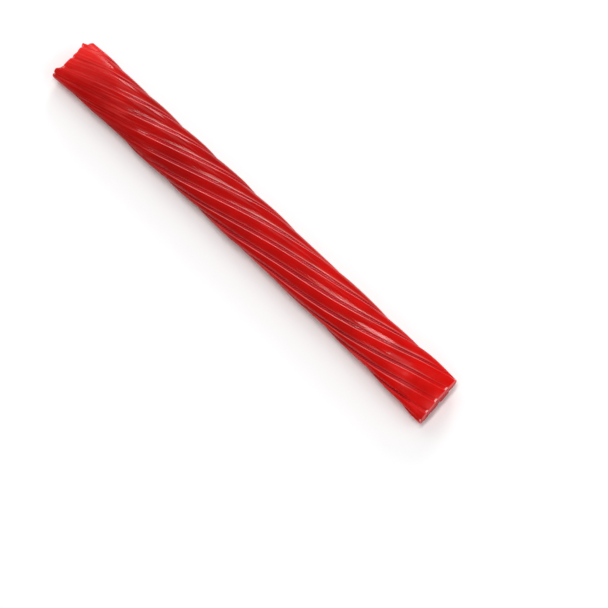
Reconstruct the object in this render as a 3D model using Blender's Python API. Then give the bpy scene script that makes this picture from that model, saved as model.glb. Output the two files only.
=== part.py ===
"""A red licorice twist: one solid rope of soft candy, in metres, +Z up.

It lies along +X and rests on Z = 0. Nine rounded lobes with narrow channels between them run
along it in a left-handed twist. The body is a low oval, flat where it rests, and each end is
pressed wider and thinner where the rope was cut.
"""

import bisect
import math
import random

import bmesh
import bpy

# The whole rope
LENGTH = 0.140
HALF_WIDTH = 0.0071
HALF_HEIGHT = 0.00425
SAG = 0.00025
BOW = 0.0003

# The pressed ends, at -X and at +X
FLARE_LENGTH = 0.026
PRESS_LENGTH = 0.012
END_HALF_WIDTH = {-1: 0.0072, 1: 0.0078}
END_HALF_HEIGHT = {-1: 0.0030, 1: 0.0029}
END_LIFT = 0.0001
END_SQUARENESS = 0.78
CUT_SKEW = {-1: 0.0, 1: 0.09}
LIP = 0.0005
LIP_DEPTH = 0.0002

# The lobes and the channels between them: a lobe slopes down on one side, to the next channel
LOBES = 9
CHANNEL_DEPTH = 0.00072
UPPER_FALL = 0.00009
LOWER_FALL = 0.00025
LOWER_MIDDLE_FALL = 0.00008
LOBE_POINTS = (
    (-0.345, UPPER_FALL),
    (-0.17, 0.0),
    (0.0, 0.0),
    (0.17, LOWER_MIDDLE_FALL),
    (0.345, LOWER_FALL),
    (0.43, CHANNEL_DEPTH),
    (0.57, CHANNEL_DEPTH),
)
SIDE_RELIEF = 1.6
SIDE_SPREAD = 0.195
END_DEPTH_ABOVE = 0.6
END_DEPTH_SIDE = 0.5

# Where the channels are faint: a stretch at -X, longer on the -Y side, and the last bit at +X
SMOOTH_SLANT = 2.4
SMOOTH_START = -0.051
SMOOTH_FADE = 0.008
SMOOTH_RELIEF = 0.25
WORN_LENGTH = 0.010
WORN_RELIEF = 0.5

# The twist: one lobe passes in each LOBE_ADVANCE, and slower along one slack stretch
LOBE_ADVANCE = 0.01264
SLACK_SHARE = 0.42
SLACK_MIDDLE = 0.0192
SLACK_REACH = 0.0196
CHANNEL_PLACE = 0.0147

# Unevenness from lobe to lobe and along the rope
SEED = 11
LOBE_HEIGHT_SPREAD = 0.00012
LOBE_PLACE_SPREAD = 0.045
WAVE_HEIGHT = 0.00007
WAVE_LENGTHS = (0.031, 0.053)
WAVE_STEP_BY_LOBE = 1.9
WAVE_STEP_BY_LENGTH = 0.7

# Fineness of the mesh
BODY_RINGS = 42
END_RINGS = 7
OUTLINE_STEPS = 360
SHARP_ANGLE = math.radians(62.0)


def clear_scene():
    """Removes whatever the scene held before."""
    for thing in list(bpy.data.objects):
        bpy.data.objects.remove(thing, do_unlink=True)


def ease(share):
    """Runs from 0 to 1 with a level start and finish."""
    share = min(1.0, max(0.0, share))
    return share * share * (3.0 - 2.0 * share)


def mix(low, high, share):
    """The value that lies share of the way from low to high."""
    return low + (high - low) * share


def nearness(x, reach):
    """Runs from 0, further than reach from the nearer cut, to 1 at the cut."""
    return ease(1.0 - (LENGTH / 2.0 - abs(x)) / reach)


def lobes_passed(x):
    """How many lobes the twist has passed between its start and x."""
    slack = SLACK_SHARE * SLACK_REACH * math.sqrt(math.pi) / 2.0
    eased = slack * math.erf((x - SLACK_MIDDLE) / SLACK_REACH)
    return (x - eased) / LOBE_ADVANCE


def channel_place(x):
    """Where the first channel lies, as a share of the way round; it falls towards +X."""
    return CHANNEL_PLACE - lobes_passed(x) / LOBES


def spread(place):
    """Makes the lobes broader on the +Y side and narrower on the -Y side."""
    return place + SIDE_SPREAD * math.sin(math.tau * place) / math.tau


def oval(x):
    """The skin of the section at x before its channels: points round it, and how far each is.

    Distances are shares of the whole way round, counted from +Y over the top.
    """
    side = 1 if x > 0.0 else -1
    pressed = nearness(x, PRESS_LENGTH)
    half_width = mix(HALF_WIDTH, END_HALF_WIDTH[side], nearness(x, FLARE_LENGTH))
    half_height = mix(HALF_HEIGHT, END_HALF_HEIGHT[side], pressed)
    power = mix(1.0, END_SQUARENESS, pressed)
    points = []
    for step in range(OUTLINE_STEPS + 1):
        angle = math.tau * step / OUTLINE_STEPS
        y = half_width * math.copysign(abs(math.cos(angle)) ** power, math.cos(angle))
        z = half_height * math.copysign(abs(math.sin(angle)) ** power, math.sin(angle))
        points.append((y, z))
    reached = [0.0]
    for before, after in zip(points, points[1:]):
        reached.append(reached[-1] + math.dist(before, after))
    return points, [distance / reached[-1] for distance in reached]


def skin_point(outline, place):
    """The point of an outline at a share of the way round, and the way out from it."""
    points, shares = outline
    place %= 1.0
    index = min(bisect.bisect_right(shares, place), OUTLINE_STEPS)
    (y0, z0), (y1, z1) = points[index - 1], points[index]
    part = (place - shares[index - 1]) / (shares[index] - shares[index - 1])
    step = math.hypot(y1 - y0, z1 - z0)
    outward = ((z1 - z0) / step, (y0 - y1) / step)
    return mix(y0, y1, part), mix(z0, z1, part), outward


def lobe_traits():
    """A height and a sideways shift for each lobe, drawn once."""
    draw = random.Random(SEED)
    heights = [draw.uniform(-LOBE_HEIGHT_SPREAD, LOBE_HEIGHT_SPREAD) for _ in range(LOBES)]
    shifts = [draw.uniform(-LOBE_PLACE_SPREAD, LOBE_PLACE_SPREAD) for _ in range(LOBES)]
    return heights, shifts


def wave(x, lobe):
    """Slow swelling and thinning of one lobe along the rope."""
    total = 0.0
    for order, length in enumerate(WAVE_LENGTHS):
        start = WAVE_STEP_BY_LOBE * lobe + WAVE_STEP_BY_LENGTH * order
        total += math.sin(math.tau * x / length + start)
    return WAVE_HEIGHT * total


def relief(x, y):
    """How deep the channels are: full along the body, faint at -X and less deep at +X."""
    smooth = 1.0 - ease((x + SMOOTH_SLANT * y - SMOOTH_START) / SMOOTH_FADE)
    worn = ease((x - LENGTH / 2.0 + WORN_LENGTH) / WORN_LENGTH)
    return mix(1.0, SMOOTH_RELIEF, smooth) * mix(1.0, WORN_RELIEF, worn)


def section_point(x, outline, place, fall, height, lip):
    """A point of the rope at x: fall below its lobe's crown, lip further in at the cut's edge."""
    y, z, (out_y, out_z) = skin_point(outline, place)
    side = 1 if x > 0.0 else -1
    pressed = nearness(x, PRESS_LENGTH)
    depth = fall * relief(x, y) - height
    depth *= mix(1.0, SIDE_RELIEF, out_y**2)
    depth *= mix(1.0, END_DEPTH_ABOVE, pressed * max(0.0, out_z))
    depth *= mix(1.0, END_DEPTH_SIDE, pressed * out_y**2)
    depth += lip
    middle = mix(HALF_HEIGHT - SAG, END_HALF_HEIGHT[side] + END_LIFT, pressed)
    skew = CUT_SKEW[side] * nearness(x, FLARE_LENGTH)
    bow = BOW * math.cos(math.pi * x / LENGTH)
    return [x - skew * y, y - depth * out_y + bow, max(0.0, z - depth * out_z + middle)]


def ring(x, traits, lip=0.0):
    """All points round the section at x, lobe by lobe."""
    heights, shifts = traits
    outline = oval(x)
    points = []
    for lobe in range(LOBES):
        for place, fall in LOBE_POINTS:
            # A channel's second point belongs to the lobe beyond it.
            owner = (lobe + 1) % LOBES if place > 0.5 else lobe
            offset = place - 1.0 if place > 0.5 else place
            shift = shifts[owner] * (1.0 - 2.0 * abs(offset))
            around = spread(channel_place(x) + (lobe + 0.5 + place + shift) / LOBES)
            height = heights[owner] + wave(x, owner)
            points.append(section_point(x, outline, around, fall, height, lip))
    return points


def ring_places():
    """Places along X, closer together where the ends are pressed."""
    body_half = LENGTH / 2.0 - PRESS_LENGTH
    step = (PRESS_LENGTH - LIP) / END_RINGS
    ends = [body_half + step * count for count in range(1, END_RINGS + 1)]
    body = [mix(-body_half, body_half, count / BODY_RINGS) for count in range(BODY_RINGS + 1)]
    return [-x for x in reversed(ends)] + body + ends


def centred(rings):
    """Moves all rings so that the rope's box is centred on X = 0 and Y = 0."""
    for axis in (0, 1):
        values = [point[axis] for points in rings for point in points]
        middle = (min(values) + max(values)) / 2.0
        for points in rings:
            for point in points:
                point[axis] -= middle
    return rings


def build_twist():
    """One closed mesh: rings joined by faces, with a flat cut at each end."""
    traits = lobe_traits()
    half = LENGTH / 2.0
    rings = [ring(x, traits) for x in ring_places()]
    rings.insert(0, ring(-half, traits, LIP_DEPTH))
    rings.append(ring(half, traits, LIP_DEPTH))
    mesh = bmesh.new()
    rows = [[mesh.verts.new(point) for point in points] for points in centred(rings)]
    count = len(rows[0])
    for row, following in zip(rows, rows[1:]):
        for index in range(count):
            after = (index + 1) % count
            mesh.faces.new((row[index], row[after], following[after], following[index]))
    mesh.faces.new(tuple(reversed(rows[0])))
    mesh.faces.new(tuple(rows[-1]))
    bmesh.ops.triangulate(mesh, faces=mesh.faces[:])
    bmesh.ops.recalc_face_normals(mesh, faces=mesh.faces[:])
    data = bpy.data.meshes.new("licorice_twist")
    mesh.to_mesh(data)
    mesh.free()
    data.shade_smooth()
    data.set_sharp_from_angle(angle=SHARP_ANGLE)
    return data


def candy_material():
    """Glossy red licorice candy."""
    material = bpy.data.materials.new("red_licorice")
    material.use_nodes = True
    shader = material.node_tree.nodes["Principled BSDF"]
    shader.inputs["Base Color"].default_value = (0.62, 0.008, 0.006, 1.0)
    shader.inputs["Metallic"].default_value = 0.0
    shader.inputs["Roughness"].default_value = 0.22
    return material


def main():
    """Clears the scene and puts the twist in it."""
    clear_scene()
    data = build_twist()
    data.materials.append(candy_material())
    twist = bpy.data.objects.new("licorice_twist", data)
    bpy.context.scene.collection.objects.link(twist)


main()
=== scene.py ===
"""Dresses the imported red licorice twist: rounded ridges, hatched channels and knife-cut ends.

The twist is one piece of soft extruded candy. It is modelled here again, more finely, around the
same lines as its solid. Sizes are metres unless a name says otherwise, and +Z is up.
"""

import bisect
import math
import random

import bpy
from mathutils import Matrix, Vector, noise


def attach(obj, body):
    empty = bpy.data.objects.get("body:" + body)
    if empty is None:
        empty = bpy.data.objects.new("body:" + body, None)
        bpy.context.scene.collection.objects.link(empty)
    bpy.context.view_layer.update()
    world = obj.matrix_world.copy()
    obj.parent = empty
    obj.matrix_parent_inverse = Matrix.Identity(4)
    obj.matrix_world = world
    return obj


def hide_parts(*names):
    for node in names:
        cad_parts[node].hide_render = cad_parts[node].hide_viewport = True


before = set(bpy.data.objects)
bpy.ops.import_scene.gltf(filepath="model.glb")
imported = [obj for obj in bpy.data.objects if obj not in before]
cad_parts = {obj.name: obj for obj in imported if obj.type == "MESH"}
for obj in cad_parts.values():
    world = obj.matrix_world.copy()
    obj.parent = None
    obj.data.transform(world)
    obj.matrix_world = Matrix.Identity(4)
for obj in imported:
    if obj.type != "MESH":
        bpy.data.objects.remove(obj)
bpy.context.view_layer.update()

MM = 0.001

# The whole rope
LENGTH = 140.0 * MM
HALF_WIDTH = 7.1 * MM
HALF_HEIGHT = 4.25 * MM
SAG = 0.25 * MM
BOW = 0.3 * MM

# The pressed ends, at -X and at +X
FLARE_LENGTH = 26.0 * MM
PRESS_LENGTH = 12.0 * MM
END_HALF_WIDTH = {-1: 7.2 * MM, 1: 7.8 * MM}
END_HALF_HEIGHT = {-1: 3.0 * MM, 1: 2.9 * MM}
END_LIFT = 0.1 * MM
END_SQUARENESS = 0.78
CUT_SKEW = {-1: 0.0, 1: 0.09}

# One lobe across: its upper side has a crisp edge, and its lower side slopes to the next channel
LOBES = 9
LOBE_WIDTH = 4.2 * MM
UPPER_FALL = 0.09 * MM
UPPER_POWER = 3.0
LOWER_FALL = 0.25 * MM
LOWER_POWER = 1.67
CHANNEL_DEPTH = 0.72 * MM
EDGE_PLACE = 0.345
FLOOR_PLACE = 0.43

# How much deeper the channels are at the rope's sides, how much broader the lobes are at +Y,
# and the share of their depth that the channels keep on top and at the sides of a pressed end
SIDE_RELIEF = 1.6
SIDE_SPREAD = 0.195
END_DEPTH_ABOVE = 0.6
END_DEPTH_SIDE = 0.5

# Where the channels are faint: a stretch at -X, longer on the -Y side, and the last bit at +X
SMOOTH_SLANT = 2.4
SMOOTH_START = -51.0 * MM
SMOOTH_FADE = 8.0 * MM
SMOOTH_RELIEF = 0.25
WORN_LENGTH = 10.0 * MM
WORN_RELIEF = 0.5

# The twist: one lobe passes in each LOBE_ADVANCE, and slower along one slack stretch
LOBE_ADVANCE = 12.64 * MM
SLACK_SHARE = 0.42
SLACK_MIDDLE = 19.2 * MM
SLACK_REACH = 19.6 * MM
CHANNEL_PLACE = 0.0147

# Unevenness from lobe to lobe and along the rope
SEED = 11
LOBE_HEIGHT_SPREAD = 0.12 * MM
LOBE_PLACE_SPREAD = 0.045
WAVE_HEIGHT = 0.07 * MM
WAVE_LENGTHS = (31.0 * MM, 53.0 * MM)
WAVE_STEP_BY_LOBE = 1.9
WAVE_STEP_BY_LENGTH = 0.7
WANDER = 0.014
WANDER_LENGTH = 17.0 * MM
LUMP_HEIGHT = 0.03 * MM
LUMP_LENGTH = 7.0 * MM
LUMP_WIDTH = 3.0 * MM

# The knife cuts: how far in mm the rim reaches past the cut, at shares of the way round from +Y
CUT_REACH = {
    -1: (
        (0.0, -0.9), (0.095, -0.5), (0.115, 0.75), (0.17, 0.15), (0.21, -0.2), (0.24, -0.1),
        (0.4, -0.15), (0.415, 0.85), (0.48, 0.6), (0.6, 0.1), (0.8, -0.2), (1.0, -0.9),
    ),
    1: (
        (0.0, -0.1), (0.1, 0.1), (0.25, 0.0), (0.33, 0.15), (0.5, 0.0), (0.7, -0.3),
        (0.85, -0.2), (1.0, -0.1),
    ),
}
CUT_REACH_LENGTH = 5.0 * MM
CUT_NOTCH = 0.25 * MM
CUT_ROUNDING = 0.22 * MM

# The cut faces: depths and sizes. CUT_EVENING is a share of the way round the rim, and the
# reaches and CUT_EVEN_INWARD are shares of the way in from the rim to the middle.
CUT_DISH = 0.15 * MM
CUT_DISH_REACH = 0.5
CUT_MARKS_REACH = 0.12
CUT_EVENING = 0.08
CUT_EVEN_INWARD = 0.22
CUT_LUMP_HEIGHT = 0.09 * MM
CUT_LUMP_SIZE = 1.1 * MM
CUT_SMEAR_HEIGHT = 0.05 * MM
CUT_SMEAR_WIDTH = 0.5 * MM
CUT_SMEAR_LENGTH = 4.0 * MM

# Where the middle of the shape's own box lies; the frame has it at X = 0 and Y = 0
FRAME_SHIFT_X = 0.351 * MM
FRAME_SHIFT_Y = -0.026 * MM

# Fineness of the mesh; across a lobe the points are closest on the channels' walls
CUTS_EACH_TIME = 19
SLICES = (CUTS_EACH_TIME + 1) ** 2
ROUNDING_SLICES = 4
CAP_STEPS = 14
SAME_PLACE = 0.001 * MM
OUTLINE_STEPS = 360
HALF_LOBE_PLACES = (0.0, 0.1, 0.19, 0.26, 0.305, 0.33, 0.35, 0.368, 0.385, 0.405, 0.43, 0.475)
PLACES = tuple(-place for place in reversed(HALF_LOBE_PLACES[1:])) + HALF_LOBE_PLACES
AROUND = LOBES * len(PLACES)
BLANK_RADIUS = HALF_WIDTH

# The photograph's view, in degrees, and the pixel where the candy's middle lies in it
PHOTO_PIXELS = 608
PIXEL_SIZE = 0.27 * MM
VIEW_AZIMUTH = 44.95
VIEW_ELEVATION = 70.0
OBJECT_PIXEL = (255.2, 228.9)
OBJECT_MIDDLE_HEIGHT = 4.0 * MM
CAMERA_DISTANCE = 2.0
SENSOR_WIDTH = 36.0

# The finish across one lobe, from one channel's middle to the next: at each place, how much hatch
# is pressed in, how much painted highlight lies along the edge, and how much it is the channel's
# floor. The two ends come first.
UPPER_EDGE = 0.5 - EDGE_PLACE
LOWER_EDGE = 0.5 + EDGE_PLACE
LOBE_MARKS = (
    (0.0, (1.0, 0.0, 1.0)),
    (1.0, (1.0, 0.0, 1.0)),
    (UPPER_EDGE - 0.05, (0.9, 0.0, 1.0)),
    (UPPER_EDGE - 0.03, (0.1, 0.2, 0.7)),
    (UPPER_EDGE - 0.018, (0.0, 1.0, 0.0)),
    (UPPER_EDGE + 0.01, (0.0, 1.0, 0.0)),
    (UPPER_EDGE + 0.03, (0.0, 0.0, 0.0)),
    (LOWER_EDGE - 0.26, (0.0, 0.0, 0.0)),
    (LOWER_EDGE - 0.16, (0.5, 0.0, 0.0)),
    (LOWER_EDGE - 0.025, (0.5, 0.1, 0.0)),
    (LOWER_EDGE - 0.008, (0.0, 0.8, 0.0)),
    (LOWER_EDGE + 0.016, (0.0, 0.8, 0.0)),
    (LOWER_EDGE + 0.042, (0.9, 0.0, 1.0)),
)

# How strongly the channels show in the finish: they come up past the smooth stretch at -X,
# between two places on its slant, and wear off at +X, between two distances from the cut
SMOOTH_STRENGTH = 0.06
SMOOTH_UNTIL = -55.0 * MM
RIDGED_FROM = -39.0 * MM
WORN_STRENGTH = 0.12
WEAR_FROM = 13.0 * MM
WEAR_TO = 3.0 * MM

# The candy's red along the rope, its two ends first. It is brighter towards both ends, with a painted
# glow just behind each cut for light coming in through it; the painted glow at -X reaches further on
# the +Y side
SKIN_REDS_AND_END_GLOW = (
    (0.0, "DC221E"),
    (1.0, "D00E0A"),
    (0.03, "C41412"),
    (0.1, "AE0D0B"),
    (0.3, "A40908"),
    (0.55, "B80B09"),
    (0.75, "BE0B08"),
)
END_GLOW_SLANT = 0.7

# The channels' floors, in the hatch's hollows and on its ridges: bluer as a painted haze of reflected
# light, and paler on the ridges as painted glints
FLOOR_HAZE_AND_GLINT_REDS = ("AC121C", "CA2E34")

# Painted highlights along the channels' edges: pale near the rope's middle line and least so down its
# sides. Between two places in Y, going to -Y, a lobe's lower edge turns from pink to red as painted
# shade.
EDGE_HIGHLIGHT_PINK = "E47874"
SHADED_EDGE_HIGHLIGHT_RED = "E04844"
EDGE_HIGHLIGHT_FULL_WITHIN = 4.3 * MM
EDGE_HIGHLIGHT_LEAST_FROM = 6.9 * MM
LEAST_EDGE_HIGHLIGHT = 0.15
RED_FROM_Y = 1.0 * MM
RED_TO_Y = -1.2 * MM

# The hatch, drawn coarser than the real 0.5 mm so that it shows; its lines waver a little
HATCH_PITCH = 0.62 * MM
HATCH_WAVINESS = 0.6
HATCH_DEPTH = 0.011 * MM
HATCH_SLANT = math.radians(-30.0)
ONE_WAVE_EACH_UNIT = math.tau / 20.0

# Fine lines drawn along the lobes, and the pink streaks of painted sheen that show them in the smooth
# stretch; a streak starts where the lines are as high as the first height, and is full at the second
DRAG_LENGTH = 14.0 * MM
DRAG_WIDTH = 0.55 * MM
DRAG_DEPTH = 0.012 * MM
SHEEN_STREAK_PINK = "E0504C"
STREAK_HEIGHTS = (0.48, 0.72)
STREAKS_WHEN_SMOOTH = 0.35
STREAKS_WHEN_RIDGED = 0.03

# Slow mottling of the red, which takes up the middle of the noise's range
CLOUD_SIZE = 7.0 * MM
CLOUD_RANGE = (0.3, 0.7)
CLOUD_CHANGE = 0.1

# The painted highlight line round each cut, and the painted highlight dots where the channels meet it;
# how pale they are at -X and at +X
RIM_HIGHLIGHT_PINK = "F4A4A4"
RIM_WIDTH = 0.45 * MM
RIM_HIGHLIGHT_STRENGTH = 0.4
RIM_SPOT_LENGTH = 0.62 * MM
PALENESS_AT_ENDS = (0.3, 1.0)

# Gloss along the body, and satin at both ends: at -X up to a place on the smooth stretch's
# slant, and at +X between two distances from the cut. The shine falls as the skin gets rougher.
GLOSSY_ROUGHNESS = 0.04
SATIN_ROUGHNESS = 0.26
SATIN_UNTIL = -59.0 * MM
GLOSSY_FROM = -41.0 * MM
END_SATIN_ROUGHNESS = 0.24
END_SATIN_FROM = 23.0 * MM
END_SATIN_TO = 12.0 * MM
DRAG_ROUGHNESS = 0.03
GLOSSY_SHINE = 0.2
SATIN_SHINE = 0.07
SHINE_FALLS_FROM = 0.08
SHINE_FALLS_TO = 0.2

# Light inside the candy: red goes furthest
CANDY_IOR = 1.48
GLOW_WEIGHT = 0.3
GLOW_DEPTH = 1.2 * MM
SKIN_GLOW = (1.0, 0.12, 0.08)
CUT_GLOW = (1.0, 0.3, 0.25)

# The cut faces: blotches of red, the darkest and the palest first, and fine grains
CUT_REDS = ((0.3, "B8141A"), (0.75, "DC444A"), (0.5, "CC242A"))
CUT_BLOTCH_SIZE = 1.4 * MM
CUT_GRAIN_SIZE = 0.4 * MM
CUT_GRAIN_DEPTH = 0.03 * MM
CUT_GRAIN_STRENGTH = 0.8
CUT_ROUGHNESS = 0.38
CUT_SHINE = 0.12

# The soft boxes: how many degrees each leans from straight up towards +X and +Y, which way its
# height runs, its width and height in metres, and how bright it looks beside a white sheet
ALONG_Y = Vector((0.0, 1.0, 0.0))
UP = Vector((0.0, 0.0, 1.0))
SOFTBOXES = {
    "overhead_box": (-2.1, -3.5, ALONG_Y, (0.12, 0.56), 19.0),
    "front_box": (4.0, -45.0, UP, (0.22, 0.34), 4.5),
    "back_box": (-37.0, 60.0, UP, (0.34, 0.22), 13.0),
    "right_box": (42.0, 24.0, UP, (1.2, 0.7), 1.35),
    "left_box": (-44.0, 20.0, UP, (1.2, 0.7), 1.35),
}
SOFTBOX_DISTANCE = 1.0
ROOM_BRIGHTNESS = 0.18

# The table top
FLOOR_SIZE = 0.9
TABLE_WHITE = "FCFCFC"
TABLE_ROUGHNESS = 0.9
TABLE_SHINE = 0.1


def ease(share):
    """Runs from 0 to 1 with a level start and finish."""
    share = min(1.0, max(0.0, share))
    return share * share * (3.0 - 2.0 * share)


def mix(low, high, share):
    """The value that lies share of the way from low to high."""
    return low + (high - low) * share


def nearness(x, reach):
    """Runs from 0, further than reach from the nearer cut, to 1 at the cut."""
    return ease(1.0 - (LENGTH / 2.0 - abs(x)) / reach)


def channel_place(x):
    """Where the first channel lies, as a share of the way round; it falls towards +X."""
    slack = SLACK_SHARE * SLACK_REACH * math.sqrt(math.pi) / 2.0
    eased = slack * math.erf((x - SLACK_MIDDLE) / SLACK_REACH)
    return CHANNEL_PLACE - (x - eased) / LOBE_ADVANCE / LOBES


def spread(place):
    """Makes the lobes broader on the +Y side and narrower on the -Y side."""
    return place + SIDE_SPREAD * math.sin(math.tau * place) / math.tau


def oval(x):
    """The skin of the section at x before its channels: points, and their shares of the way round."""
    side = 1 if x > 0.0 else -1
    pressed = nearness(x, PRESS_LENGTH)
    half_width = mix(HALF_WIDTH, END_HALF_WIDTH[side], nearness(x, FLARE_LENGTH))
    half_height = mix(HALF_HEIGHT, END_HALF_HEIGHT[side], pressed)
    power = mix(1.0, END_SQUARENESS, pressed)
    points = []
    for step in range(OUTLINE_STEPS + 1):
        angle = math.tau * step / OUTLINE_STEPS
        y = half_width * math.copysign(abs(math.cos(angle)) ** power, math.cos(angle))
        z = half_height * math.copysign(abs(math.sin(angle)) ** power, math.sin(angle))
        points.append((y, z))
    reached = [0.0]
    for before, after in zip(points, points[1:]):
        reached.append(reached[-1] + math.dist(before, after))
    return points, [distance / reached[-1] for distance in reached]


def skin_point(outline, place):
    """The point of an outline at a share of the way round, and the way out from it."""
    points, shares = outline
    place %= 1.0
    index = min(bisect.bisect_right(shares, place), OUTLINE_STEPS)
    (y0, z0), (y1, z1) = points[index - 1], points[index]
    part = (place - shares[index - 1]) / (shares[index] - shares[index - 1])
    step = math.hypot(y1 - y0, z1 - z0)
    outward = ((z1 - z0) / step, (y0 - y1) / step)
    return mix(y0, y1, part), mix(z0, z1, part), outward


def lobe_traits():
    """A height and a sideways shift for each lobe, drawn once."""
    draw = random.Random(SEED)
    heights = [draw.uniform(-LOBE_HEIGHT_SPREAD, LOBE_HEIGHT_SPREAD) for _ in range(LOBES)]
    shifts = [draw.uniform(-LOBE_PLACE_SPREAD, LOBE_PLACE_SPREAD) for _ in range(LOBES)]
    return heights, shifts


def wave(x, lobe):
    """Slow swelling and thinning of one lobe along the rope."""
    total = 0.0
    for order, length in enumerate(WAVE_LENGTHS):
        start = WAVE_STEP_BY_LOBE * lobe + WAVE_STEP_BY_LENGTH * order
        total += math.sin(math.tau * x / length + start)
    return WAVE_HEIGHT * total


def lobe_fall(place):
    """How far the skin lies below a lobe's crown at a place from -0.5 to 0.5 across it."""
    share = min(1.0, abs(place) / EDGE_PLACE)
    if place < 0.0:
        crown = UPPER_FALL * share**UPPER_POWER
    else:
        crown = LOWER_FALL * share**LOWER_POWER
    wall = ease((abs(place) - EDGE_PLACE) / (FLOOR_PLACE - EDGE_PLACE))
    return mix(crown, CHANNEL_DEPTH, wall)


def relief(x, y):
    """How deep the channels are: full along the body, faint at -X and less deep at +X."""
    smooth = 1.0 - ease((x + SMOOTH_SLANT * y - SMOOTH_START) / SMOOTH_FADE)
    worn = ease((x - LENGTH / 2.0 + WORN_LENGTH) / WORN_LENGTH)
    return mix(1.0, SMOOTH_RELIEF, smooth) * mix(1.0, WORN_RELIEF, worn)


def lobe_height(x, lobe, place, heights):
    """How far this lobe stands proud; under the edges it passes over to the next lobe."""
    beyond = (lobe + (1 if place > 0.0 else -1)) % LOBES
    share = ease((abs(place) - EDGE_PLACE) / (0.5 - EDGE_PLACE)) / 2.0
    return mix(heights[lobe] + wave(x, lobe), heights[beyond] + wave(x, beyond), share)


def cut_reach(x, around, place):
    """How far the knife left the rim longer than the cut, less a notch at each channel."""
    side = 1 if x > 0.0 else -1
    points = CUT_REACH[side]
    index = max(1, bisect.bisect_left([share for share, _ in points], around % 1.0))
    (start, low), (end, high) = points[index - 1], points[index]
    reach = mix(low, high, ease((around % 1.0 - start) / (end - start))) * MM
    notch = CUT_NOTCH * ease((abs(place) - EDGE_PLACE) / (FLOOR_PLACE - EDGE_PLACE))
    return side * (reach - notch) * nearness(x, CUT_REACH_LENGTH) ** 2


def evened(values):
    """Each value of a closed ring, averaged with those near it."""
    reach = round(CUT_EVENING * AROUND)
    steps = range(-reach, reach + 1)
    return [
        sum(values[(index + step) % AROUND] for step in steps) / len(steps)
        for index in range(AROUND)
    ]


def slice_places():
    """For each slice of the rope from -X to +X, where it lies and how far its skin is rounded in."""
    rounding = []
    for step in range(ROUNDING_SLICES):
        angle = math.pi / 2.0 * step / ROUNDING_SLICES
        inward = CUT_ROUNDING * (1.0 - math.cos(angle))
        rounding.append((inward, CUT_ROUNDING * (1.0 - math.sin(angle))))
    straight = LENGTH / 2.0 - CUT_ROUNDING
    count = SLICES - 2 * ROUNDING_SLICES
    low = [(-LENGTH / 2.0 + inward, fall) for inward, fall in rounding]
    body = [(mix(-straight, straight, step / count), 0.0) for step in range(count + 1)]
    high = [(-x, fall) for x, fall in reversed(low)]
    return [*low, *body, *high]


def rope_point(x, outline, lobe, place, rounding, traits):
    """A point of the finished skin."""
    heights, shifts = traits
    drift = WANDER * noise.noise(Vector((x / WANDER_LENGTH, lobe + 0.5 + place, 0.0)))
    shift = shifts[lobe] * (1.0 - 2.0 * abs(place)) + drift
    around = spread(channel_place(x) + (lobe + 0.5 + place + shift) / LOBES)
    y, z, (out_y, out_z) = skin_point(outline, around)
    side = 1 if x > 0.0 else -1
    pressed = nearness(x, PRESS_LENGTH)
    lumps = LUMP_HEIGHT * noise.noise(Vector((x / LUMP_LENGTH, y / LUMP_WIDTH, z / LUMP_WIDTH)))
    depth = lobe_fall(place) * relief(x, y) - lobe_height(x, lobe, place, heights)
    depth *= mix(1.0, SIDE_RELIEF, out_y**2)
    depth *= mix(1.0, END_DEPTH_ABOVE, pressed * max(0.0, out_z))
    depth *= mix(1.0, END_DEPTH_SIDE, pressed * out_y**2)
    depth += rounding - lumps
    middle = mix(HALF_HEIGHT - SAG, END_HALF_HEIGHT[side] + END_LIFT, pressed)
    skew = CUT_SKEW[side] * nearness(x, FLARE_LENGTH)
    bow = BOW * math.cos(math.pi * x / LENGTH)
    return Vector(
        (
            x - skew * y + cut_reach(x, around, place),
            y - depth * out_y + bow,
            max(0.0, z - depth * out_z + middle),
        )
    )


def cut_relief(side, y, z, inward):
    """How far the cut face lies in front of a flat cut: a shallow dish with smears and lumps."""
    dish = -CUT_DISH * ease(inward / CUT_DISH_REACH)
    lumps = CUT_LUMP_HEIGHT * noise.noise(Vector((y, z, side * MM)) / CUT_LUMP_SIZE)
    smear_place = Vector((y / CUT_SMEAR_WIDTH, z / CUT_SMEAR_LENGTH, side))
    smears = CUT_SMEAR_HEIGHT * noise.noise(smear_place)
    return dish + (lumps + smears) * ease(inward / CUT_MARKS_REACH)


def is_lengthwise(blank, edge):
    """Whether an edge of the blank runs along it."""
    first, second = (blank.data.vertices[index].co.x for index in edge.vertices)
    return abs(first - second) > SAME_PLACE


def select_only(blank, kind, wanted):
    """Selects the edges or the faces of the blank that are wanted, and goes to edit mode."""
    bpy.ops.object.mode_set(mode="EDIT")
    bpy.ops.mesh.select_mode(type=kind)
    bpy.ops.mesh.select_all(action="DESELECT")
    bpy.ops.object.mode_set(mode="OBJECT")
    for item in blank.data.edges if kind == "EDGE" else blank.data.polygons:
        item.select = wanted(item)
    bpy.ops.object.mode_set(mode="EDIT")


def rope_blank():
    """A plain many-sided bar along X, sliced across, with steps let into both ends."""
    bpy.ops.object.select_all(action="DESELECT")
    bpy.ops.mesh.primitive_cylinder_add(
        vertices=AROUND,
        radius=BLANK_RADIUS,
        depth=LENGTH,
        end_fill_type="NGON",
        rotation=(0.0, math.pi / 2.0, 0.0),
    )
    blank = bpy.context.object
    blank.name = "candy_twist"
    bpy.ops.object.transform_apply(location=True, rotation=True, scale=True)
    # The slices are cut in two rounds, because one round can make 100 cuts at most.
    for _ in range(2):
        select_only(blank, "EDGE", lambda edge: is_lengthwise(blank, edge))
        bpy.ops.mesh.subdivide(number_cuts=CUTS_EACH_TIME)
        bpy.ops.object.mode_set(mode="OBJECT")
    # Only the two end faces have more than four corners.
    select_only(blank, "FACE", lambda face: len(face.vertices) > 4)
    for _ in range(CAP_STEPS):
        bpy.ops.mesh.inset(thickness=BLANK_RADIUS / (CAP_STEPS + 1))
    bpy.ops.mesh.poke()
    bpy.ops.object.mode_set(mode="OBJECT")
    return blank


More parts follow.
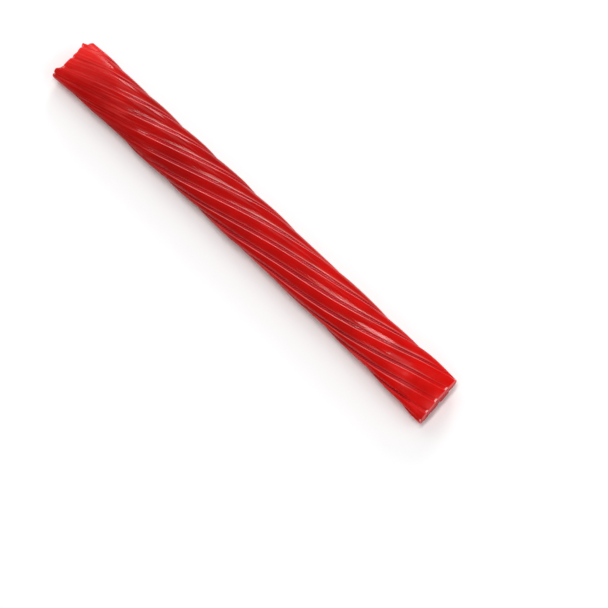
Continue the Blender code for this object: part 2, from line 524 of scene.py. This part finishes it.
def shape_rope(blank, slices):
    """Moves the blank's points to the twist; returns each one's slice, place round and way in."""
    traits = lobe_traits()
    skin = []
    for x, rounding in slices:
        outline = oval(x)
        skin.append([
            rope_point(x, outline, lobe, place, rounding, traits)
            for lobe in range(LOBES)
            for place in PLACES
        ])
    rims = {-1: skin[0], 1: skin[-1]}
    middles = {side: sum(rim, Vector()) / AROUND for side, rim in rims.items()}
    even_rims = {side: evened([point.x for point in rim]) for side, rim in rims.items()}
    spots = []
    for vertex in blank.data.vertices:
        x, y, z = vertex.co
        inward = max(0.0, 1.0 - math.hypot(y, z) / BLANK_RADIUS)
        if inward < SAME_PLACE / BLANK_RADIUS:
            inward = 0.0
        index = round(math.atan2(z, y) / math.tau * AROUND) % AROUND
        number = round((x / LENGTH + 0.5) * SLICES)
        point = skin[number][index].copy()
        if inward:
            side = 1 if x > 0.0 else -1
            even_x = mix(even_rims[side][index], middles[side].x, inward)
            point = point.lerp(middles[side], inward)
            point.x = mix(point.x, even_x, ease(inward / CUT_EVEN_INWARD))
            point.x += side * cut_relief(side, point.y, point.z, inward)
        vertex.co = point
        spots.append((number, index, inward))
    for vertex in blank.data.vertices:
        vertex.co.x -= FRAME_SHIFT_X
        vertex.co.y -= FRAME_SHIFT_Y
    return spots


def wrap_map(blank, slices, spots):
    """A UV map that follows the skin: along the rope in U, and round it in lobes in V.

    On the cut faces U goes on past 0 and past 1 by the share of the way in to their middle.
    """
    layer = blank.data.uv_layers[0] if blank.data.uv_layers else blank.data.uv_layers.new()
    layer.name = "wrap"
    for face in blank.data.polygons:
        indices = [spots[vertex][1] for vertex in face.vertices]
        crosses_seam = max(indices) - min(indices) > AROUND / 2
        for loop, vertex in zip(face.loop_indices, face.vertices):
            number, index, inward = spots[vertex]
            lobe, step = divmod(index, len(PLACES))
            around = (lobe + 0.5 + PLACES[step]) / LOBES
            if crosses_seam and index < AROUND / 2:
                around += 1.0
            x = slices[number][0]
            layer.data[loop].uv = (x / LENGTH + 0.5 + math.copysign(inward, x), around)
        face.material_index = int(any(spots[vertex][2] for vertex in face.vertices))
        face.use_smooth = True


def srgb(code):
    """A hex colour such as "D9140E" as linear red, green, blue and alpha."""
    channels = [int(code[start : start + 2], 16) / 255.0 for start in (0, 2, 4)]
    linear = [c / 12.92 if c <= 0.04045 else ((c + 0.055) / 1.055) ** 2.4 for c in channels]
    return (*linear, 1.0)


def add_node(tree, kind, settings=None, stops=(), **links):
    """Adds a node, sets its properties, ramp stops and inputs, and links the sockets given."""
    node = tree.nodes.new(kind)
    for name, value in (settings or {}).items():
        setattr(node, name, value)
    for number, (place, colour) in enumerate(stops):
        elements = node.color_ramp.elements
        if number < 2:
            elements[number].position = place
            elements[number].color = colour
        else:
            elements.new(place).color = colour
    for name, value in links.items():
        socket = node.inputs[int(name[1:]) if name[0] == "_" else name.replace("_", " ")]
        if isinstance(value, bpy.types.NodeSocket):
            tree.links.new(value, socket)
        else:
            socket.default_value = value
    return node


def blank_material(name):
    """A new material with its tree and its shader."""
    material = bpy.data.materials.new(name)
    material.use_nodes = True
    return material, material.node_tree, material.node_tree.nodes["Principled BSDF"]


def lobe_marks(tree, across):
    """How much hatch, painted edge highlight and channel floor there is at each place across a lobe."""
    marks = add_node(
        tree, "ShaderNodeValToRGB", Fac=across,
        stops=[(place, (*amounts, 1.0)) for place, amounts in LOBE_MARKS],
    )
    parts = add_node(tree, "ShaderNodeSeparateColor", Color=marks.outputs["Color"])
    return parts.outputs["Red"], parts.outputs["Green"], parts.outputs["Blue"]


def channel_strength(tree, slanted_x, along):
    """How ridged the skin is past the smooth stretch at -X, and that less the wear at +X."""
    ridged = add_node(
        tree, "ShaderNodeMapRange", {"interpolation_type": "SMOOTHSTEP"}, Value=slanted_x,
        From_Min=SMOOTH_UNTIL, From_Max=RIDGED_FROM, To_Min=SMOOTH_STRENGTH, To_Max=1.0,
    )
    worn = add_node(
        tree, "ShaderNodeMapRange", {"interpolation_type": "SMOOTHSTEP"}, Value=along,
        From_Min=1.0 - WEAR_FROM / LENGTH, From_Max=1.0 - WEAR_TO / LENGTH,
        To_Min=1.0, To_Max=WORN_STRENGTH,
    )
    strength = add_node(
        tree, "ShaderNodeMath", {"operation": "MULTIPLY"},
        _0=ridged.outputs[0], _1=worn.outputs[0],
    )
    return ridged.outputs[0], strength.outputs[0]


def hatch_pattern(tree, wrap):
    """Fine slanted ridges and hollows, which follow the twist."""
    flat = add_node(
        tree, "ShaderNodeMapping", Vector=wrap,
        Scale=(LENGTH / HATCH_PITCH, LOBES * LOBE_WIDTH / HATCH_PITCH, 1.0),
    )
    slanted = add_node(
        tree, "ShaderNodeMapping", Vector=flat.outputs[0], Rotation=(0.0, 0.0, HATCH_SLANT)
    )
    hatch = add_node(
        tree, "ShaderNodeTexWave", {"bands_direction": "X"}, Vector=slanted.outputs[0],
        Scale=ONE_WAVE_EACH_UNIT, Distortion=HATCH_WAVINESS, Detail=1.0, Detail_Scale=0.7,
    )
    return hatch.outputs["Fac"]


def drag_lines(tree, wrap):
    """Fine lines that the nozzle draws along the lobes."""
    drawn = add_node(
        tree, "ShaderNodeMapping", Vector=wrap,
        Scale=(LENGTH / DRAG_LENGTH, LOBES * LOBE_WIDTH / DRAG_WIDTH, 1.0),
    )
    drag = add_node(
        tree, "ShaderNodeTexNoise", Vector=drawn.outputs[0], Scale=1.0, Detail=3.0, Roughness=0.6
    )
    return drag.outputs["Fac"]


def own_red_and_end_glow(tree, along, y):
    """The candy's own red, which changes slowly along the rope, with a painted glow just behind each
    cut.
    """
    slanted_along = add_node(
        tree, "ShaderNodeMath", {"operation": "MULTIPLY_ADD"},
        _0=y, _1=-END_GLOW_SLANT / LENGTH, _2=along,
    )
    body = add_node(
        tree, "ShaderNodeValToRGB", Fac=slanted_along.outputs[0],
        stops=[(place, srgb(code)) for place, code in SKIN_REDS_AND_END_GLOW],
    )
    return body.outputs["Color"]


def with_painted_floor_haze(tree, colour, floor_mark, strength, hatch):
    """The colour, with the duller and bluer red of the channels' floors: a painted haze, with painted
    glints on the hatch's ridges.
    """
    hollow, ridge = FLOOR_HAZE_AND_GLINT_REDS
    floor_haze_and_glints = add_node(
        tree, "ShaderNodeMix", {"data_type": "RGBA"},
        Factor=hatch, _6=srgb(hollow), _7=srgb(ridge),
    )
    share = add_node(tree, "ShaderNodeMath", {"operation": "MULTIPLY"}, _0=floor_mark, _1=strength)
    mixed = add_node(
        tree, "ShaderNodeMix", {"data_type": "RGBA"},
        Factor=share.outputs[0], _6=colour, _7=floor_haze_and_glints.outputs[2],
    )
    return mixed.outputs[2]


def with_painted_edge_highlights(tree, colour, edge_mark, strength, across, y):
    """The colour, with painted highlights on the edges: pale on top, less down the sides, and lower
    ones red at -Y as painted shade.
    """
    off_middle = add_node(tree, "ShaderNodeMath", {"operation": "ABSOLUTE"}, _0=y)
    on_top = add_node(
        tree, "ShaderNodeMapRange", {"interpolation_type": "SMOOTHSTEP"},
        Value=off_middle.outputs[0], From_Min=EDGE_HIGHLIGHT_FULL_WITHIN, From_Max=EDGE_HIGHLIGHT_LEAST_FROM,
        To_Min=1.0, To_Max=LEAST_EDGE_HIGHLIGHT,
    )
    highlighting = add_node(
        tree, "ShaderNodeMath", {"operation": "MULTIPLY"}, _0=on_top.outputs[0], _1=strength
    )
    highlighted = add_node(
        tree, "ShaderNodeMath", {"operation": "MULTIPLY"}, _0=edge_mark, _1=highlighting.outputs[0]
    )
    to_front = add_node(
        tree, "ShaderNodeMapRange", {"interpolation_type": "SMOOTHSTEP"}, Value=y,
        From_Min=RED_TO_Y, From_Max=RED_FROM_Y, To_Min=1.0, To_Max=0.0,
    )
    lower_in_front = add_node(
        tree, "ShaderNodeMath", {"operation": "MULTIPLY"}, _0=across, _1=to_front.outputs[0]
    )
    edge_highlight = add_node(
        tree, "ShaderNodeMix", {"data_type": "RGBA"},
        Factor=lower_in_front.outputs[0], _6=srgb(EDGE_HIGHLIGHT_PINK), _7=srgb(SHADED_EDGE_HIGHLIGHT_RED),
    )
    mixed = add_node(
        tree, "ShaderNodeMix", {"data_type": "RGBA"},
        Factor=highlighted.outputs[0], _6=colour, _7=edge_highlight.outputs[2],
    )
    return mixed.outputs[2]


def with_painted_rim_highlights(tree, colour, along, across):
    """The colour, with a painted highlight line round each cut and a painted highlight dot where each
    channel meets it.
    """
    from_middle = add_node(tree, "ShaderNodeMath", {"operation": "SUBTRACT"}, _0=along, _1=0.5)
    to_end = add_node(
        tree, "ShaderNodeMath", {"operation": "ABSOLUTE"}, _0=from_middle.outputs[0]
    )
    rim = add_node(
        tree, "ShaderNodeMapRange", {"interpolation_type": "SMOOTHSTEP"}, Value=to_end.outputs[0],
        From_Min=0.5 - RIM_WIDTH / LENGTH, From_Max=0.5, To_Max=RIM_HIGHLIGHT_STRENGTH,
    )
    near_cut = add_node(
        tree, "ShaderNodeMapRange", {"interpolation_type": "SMOOTHSTEP"}, Value=to_end.outputs[0],
        From_Min=0.5 - RIM_SPOT_LENGTH / LENGTH, From_Max=0.5 - 0.5 * RIM_SPOT_LENGTH / LENGTH,
    )
    from_crown = add_node(tree, "ShaderNodeMath", {"operation": "SUBTRACT"}, _0=across, _1=0.5)
    off_crown = add_node(
        tree, "ShaderNodeMath", {"operation": "ABSOLUTE"}, _0=from_crown.outputs[0]
    )
    in_channel = add_node(
        tree, "ShaderNodeMapRange", {"interpolation_type": "SMOOTHSTEP"},
        Value=off_crown.outputs[0], From_Min=EDGE_PLACE, From_Max=FLOOR_PLACE,
    )
    dots = add_node(
        tree, "ShaderNodeMath", {"operation": "MULTIPLY"},
        _0=near_cut.outputs[0], _1=in_channel.outputs[0],
    )
    both = add_node(
        tree, "ShaderNodeMath", {"operation": "MAXIMUM"}, _0=rim.outputs[0], _1=dots.outputs[0]
    )
    least, most = PALENESS_AT_ENDS
    by_end = add_node(tree, "ShaderNodeMapRange", Value=along, To_Min=least, To_Max=most)
    pale = add_node(
        tree, "ShaderNodeMath", {"operation": "MULTIPLY"}, _0=both.outputs[0], _1=by_end.outputs[0]
    )
    mixed = add_node(
        tree, "ShaderNodeMix", {"data_type": "RGBA"},
        Factor=pale.outputs[0], _6=colour, _7=srgb(RIM_HIGHLIGHT_PINK),
    )
    return mixed.outputs[2]


def with_painted_sheen_streaks(tree, colour, drag, ridged):
    """The colour, with soft pink streaks of painted sheen along the drag lines, mostly in the smooth
    stretch.
    """
    start, full = STREAK_HEIGHTS
    streaks = add_node(
        tree, "ShaderNodeMapRange", {"interpolation_type": "SMOOTHSTEP"}, Value=drag,
        From_Min=start, From_Max=full,
    )
    smoothed = add_node(
        tree, "ShaderNodeMapRange", Value=ridged, From_Min=SMOOTH_STRENGTH, From_Max=1.0,
        To_Min=STREAKS_WHEN_SMOOTH, To_Max=STREAKS_WHEN_RIDGED,
    )
    streaked = add_node(
        tree, "ShaderNodeMath", {"operation": "MULTIPLY"},
        _0=streaks.outputs[0], _1=smoothed.outputs[0],
    )
    mixed = add_node(
        tree, "ShaderNodeMix", {"data_type": "RGBA"},
        Factor=streaked.outputs[0], _6=colour, _7=srgb(SHEEN_STREAK_PINK),
    )
    return mixed.outputs[2]


def mottled(tree, colour, spot):
    """The colour, a little lighter and darker in slow clouds."""
    low, high = CLOUD_RANGE
    clouds = add_node(tree, "ShaderNodeTexNoise", Vector=spot, Scale=1.0 / CLOUD_SIZE, Detail=2.0)
    brightness = add_node(
        tree, "ShaderNodeMapRange", Value=clouds.outputs["Fac"], From_Min=low, From_Max=high,
        To_Min=1.0 - CLOUD_CHANGE, To_Max=1.0 + CLOUD_CHANGE,
    )
    clouded = add_node(
        tree, "ShaderNodeHueSaturation", Color=colour, Value=brightness.outputs[0]
    )
    return clouded.outputs[0]


def skin_roughness(tree, slanted_x, along, drag):
    """How rough the skin is: glossy along the body and satin at both ends."""
    satin = add_node(
        tree, "ShaderNodeMapRange", {"interpolation_type": "SMOOTHERSTEP"}, Value=slanted_x,
        From_Min=SATIN_UNTIL, From_Max=GLOSSY_FROM,
        To_Min=SATIN_ROUGHNESS, To_Max=GLOSSY_ROUGHNESS,
    )
    end_satin = add_node(
        tree, "ShaderNodeMapRange", {"interpolation_type": "SMOOTHERSTEP"}, Value=along,
        From_Min=1.0 - END_SATIN_FROM / LENGTH, From_Max=1.0 - END_SATIN_TO / LENGTH,
        To_Min=0.0, To_Max=END_SATIN_ROUGHNESS,
    )
    uneven = add_node(
        tree, "ShaderNodeMath", {"operation": "MULTIPLY_ADD"},
        _0=drag, _1=DRAG_ROUGHNESS, _2=end_satin.outputs[0],
    )
    roughness = add_node(
        tree, "ShaderNodeMath", {"operation": "ADD"}, _0=satin.outputs[0], _1=uneven.outputs[0]
    )
    return roughness.outputs[0]


def skin_bumps(tree, hatch, hatch_mark, strength, drag):
    """The slope of the skin, with the hatch pressed in and the drag lines over it."""
    pressed_in = add_node(
        tree, "ShaderNodeMath", {"operation": "MULTIPLY"}, _0=hatch_mark, _1=strength
    )
    height = add_node(
        tree, "ShaderNodeMath", {"operation": "MULTIPLY"}, _0=hatch, _1=pressed_in.outputs[0]
    )
    hatched = add_node(
        tree, "ShaderNodeBump", Height=height.outputs[0], Distance=HATCH_DEPTH, Strength=1.0
    )
    dragged = add_node(
        tree, "ShaderNodeBump", Height=drag, Distance=DRAG_DEPTH, Strength=1.0,
        Normal=hatched.outputs[0],
    )
    return dragged.outputs[0]


def light_inside(shader, depths):
    """Lets light into the candy, to a share of the glow's depth for red, green and blue."""
    shader.inputs["Subsurface Weight"].default_value = GLOW_WEIGHT
    shader.inputs["Subsurface Radius"].default_value = depths
    shader.inputs["Subsurface Scale"].default_value = GLOW_DEPTH


def candy_skin():
    """Soft red sugar candy, extruded and oiled: deep clear red, glossy, with light inside it."""
    material, tree, shader = blank_material("oiled_red_sugar_candy")
    wrap = add_node(tree, "ShaderNodeUVMap", {"uv_map": "wrap"}).outputs["UV"]
    spot = add_node(tree, "ShaderNodeTexCoord").outputs["Object"]
    place = add_node(tree, "ShaderNodeSeparateXYZ", Vector=spot)
    y = place.outputs["Y"]
    slanted_x = add_node(
        tree, "ShaderNodeMath", {"operation": "MULTIPLY_ADD"},
        _0=y, _1=SMOOTH_SLANT, _2=place.outputs["X"],
    ).outputs[0]
    wrapped = add_node(tree, "ShaderNodeSeparateXYZ", Vector=wrap)
    along = wrapped.outputs["X"]
    lobes = add_node(
        tree, "ShaderNodeMath", {"operation": "MULTIPLY"},
        _0=wrapped.outputs["Y"], _1=float(LOBES),
    )
    across = add_node(tree, "ShaderNodeMath", {"operation": "FRACT"}, _0=lobes.outputs[0]).outputs[0]

    hatch_mark, edge_mark, floor_mark = lobe_marks(tree, across)
    ridged, strength = channel_strength(tree, slanted_x, along)
    hatch = hatch_pattern(tree, wrap)
    drag = drag_lines(tree, wrap)

    # Painted light below: glow behind the cuts, haze and glints on the floors, edge and rim highlights,
    # sheen streaks.
    colour = own_red_and_end_glow(tree, along, y)
    colour = with_painted_floor_haze(tree, colour, floor_mark, strength, hatch)
    colour = with_painted_edge_highlights(tree, colour, edge_mark, strength, across, y)
    colour = with_painted_rim_highlights(tree, colour, along, across)
    colour = with_painted_sheen_streaks(tree, colour, drag, ridged)
    colour = mottled(tree, colour, spot)

    roughness = skin_roughness(tree, slanted_x, along, drag)
    shine = add_node(
        tree, "ShaderNodeMapRange", Value=roughness,
        From_Min=SHINE_FALLS_FROM, From_Max=SHINE_FALLS_TO, To_Min=GLOSSY_SHINE, To_Max=SATIN_SHINE,
    )
    tree.links.new(colour, shader.inputs["Base Color"])
    tree.links.new(roughness, shader.inputs["Roughness"])
    tree.links.new(skin_bumps(tree, hatch, hatch_mark, strength, drag), shader.inputs["Normal"])
    # An export that can't carry the changing shine keeps the socket's own value.
    shader.inputs["Specular IOR Level"].default_value = GLOSSY_SHINE
    tree.links.new(shine.outputs[0], shader.inputs["Specular IOR Level"])
    shader.inputs["IOR"].default_value = CANDY_IOR
    light_inside(shader, SKIN_GLOW)
    return material


def cut_candy():
    """The inside of the candy where a knife went through: duller, blotched and finely grained."""
    material, tree, shader = blank_material("knife_cut_candy")
    spot = add_node(tree, "ShaderNodeTexCoord").outputs["Object"]
    blotches = add_node(
        tree, "ShaderNodeTexNoise", Vector=spot, Scale=1.0 / CUT_BLOTCH_SIZE, Detail=3.0
    )
    grains = add_node(
        tree, "ShaderNodeTexNoise", Vector=spot, Scale=1.0 / CUT_GRAIN_SIZE, Detail=2.0
    )
    colour = add_node(
        tree, "ShaderNodeValToRGB", Fac=blotches.outputs["Fac"],
        stops=[(place, srgb(code)) for place, code in CUT_REDS],
    )
    bump = add_node(
        tree, "ShaderNodeBump", Height=grains.outputs["Fac"],
        Distance=CUT_GRAIN_DEPTH, Strength=CUT_GRAIN_STRENGTH,
    )
    tree.links.new(colour.outputs["Color"], shader.inputs["Base Color"])
    tree.links.new(bump.outputs[0], shader.inputs["Normal"])
    shader.inputs["Roughness"].default_value = CUT_ROUGHNESS
    shader.inputs["Specular IOR Level"].default_value = CUT_SHINE
    light_inside(shader, CUT_GLOW)
    return material


def add_floor():
    """A plain pale table top, as stage: matt melamine laminate, which shows no mirror image."""
    bpy.ops.mesh.primitive_plane_add(size=FLOOR_SIZE)
    floor = bpy.context.object
    floor.name = "floor"
    material, _, shader = blank_material("matt_white_melamine")
    shader.inputs["Base Color"].default_value = srgb(TABLE_WHITE)
    shader.inputs["Roughness"].default_value = TABLE_ROUGHNESS
    shader.inputs["Specular IOR Level"].default_value = TABLE_SHINE
    floor.data.materials.append(material)


def leaning(x_degrees, y_degrees):
    """The direction that leans from straight up by so many degrees towards +X and +Y."""
    lean = math.radians(math.hypot(x_degrees, y_degrees))
    level = Vector((x_degrees, y_degrees, 0.0)).normalized()
    return level * math.sin(lean) + UP * math.cos(lean)


def turned_to(direction, upright):
    """The rotation whose Z axis is direction and whose Y axis is as near as it can be to upright."""
    across = upright.cross(direction).normalized()
    return Matrix((across, direction.cross(across), direction)).transposed().to_quaternion()


def add_softbox(name, direction, upright, size, brightness):
    """An oblong lamp that faces the candy; brightness 1 looks as bright as a white sheet."""
    lamp = bpy.data.lights.new(name, "AREA")
    lamp.shape = "RECTANGLE"
    lamp.size, lamp.size_y = size
    lamp.energy = brightness * size[0] * size[1] * math.pi
    box = bpy.data.objects.new(name, lamp)
    box.location = direction * SOFTBOX_DISTANCE
    box.rotation_mode = "QUATERNION"
    box.rotation_quaternion = turned_to(direction, upright)
    box.visible_camera = False
    bpy.context.scene.collection.objects.link(box)


def add_light():
    """Plain soft studio light: small boxes overhead, in front and behind, wide ones past the ends."""
    for name, (x_degrees, y_degrees, upright, size, brightness) in SOFTBOXES.items():
        add_softbox(name, leaning(x_degrees, y_degrees), upright, size, brightness)
    world = bpy.data.worlds.new("studio")
    world.use_nodes = True
    tree = world.node_tree
    background = tree.nodes["Background"]
    background.inputs["Color"].default_value = (1.0, 1.0, 1.0, 1.0)
    # The dim room shows in the gloss, and a white sheet behind everything shows to the camera.
    rays = add_node(tree, "ShaderNodeLightPath")
    strength = add_node(
        tree, "ShaderNodeMapRange", Value=rays.outputs["Is Camera Ray"],
        To_Min=ROOM_BRIGHTNESS, To_Max=1.0,
    )
    tree.links.new(strength.outputs[0], background.inputs["Strength"])
    bpy.context.scene.world = world


def add_camera():
    """A long lens at the photograph's angle, moved sideways so that the candy lies as it does there."""
    azimuth = math.radians(VIEW_AZIMUTH)
    elevation = math.radians(VIEW_ELEVATION)
    level = Vector((math.sin(azimuth), -math.cos(azimuth), 0.0))
    back = level * math.cos(elevation) + UP * math.sin(elevation)
    turn = turned_to(back, UP)
    offset = Vector((
        (PHOTO_PIXELS / 2 - OBJECT_PIXEL[0]) * PIXEL_SIZE,
        -(PHOTO_PIXELS / 2 - OBJECT_PIXEL[1]) * PIXEL_SIZE,
        CAMERA_DISTANCE,
    ))
    data = bpy.data.cameras.new("camera")
    data.sensor_width = SENSOR_WIDTH
    data.lens = SENSOR_WIDTH * CAMERA_DISTANCE / (PHOTO_PIXELS * PIXEL_SIZE)
    camera = bpy.data.objects.new("camera", data)
    camera.location = UP * OBJECT_MIDDLE_HEIGHT + turn @ offset
    camera.rotation_mode = "QUATERNION"
    camera.rotation_quaternion = turn
    bpy.context.scene.collection.objects.link(camera)
    bpy.context.scene.camera = camera


def build_twist():
    """The whole candy: shaped, mapped and given its two finishes."""
    slices = slice_places()
    twist = rope_blank()
    twist.data.materials.append(candy_skin())
    twist.data.materials.append(cut_candy())
    wrap_map(twist, slices, shape_rope(twist, slices))
    bpy.ops.object.select_all(action="DESELECT")
    return twist


candy_twist = build_twist()
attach(candy_twist, "root")
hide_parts("licorice_twist")

add_floor()
add_light()
add_camera()
bpy.context.scene.view_settings.view_transform = "Standard"
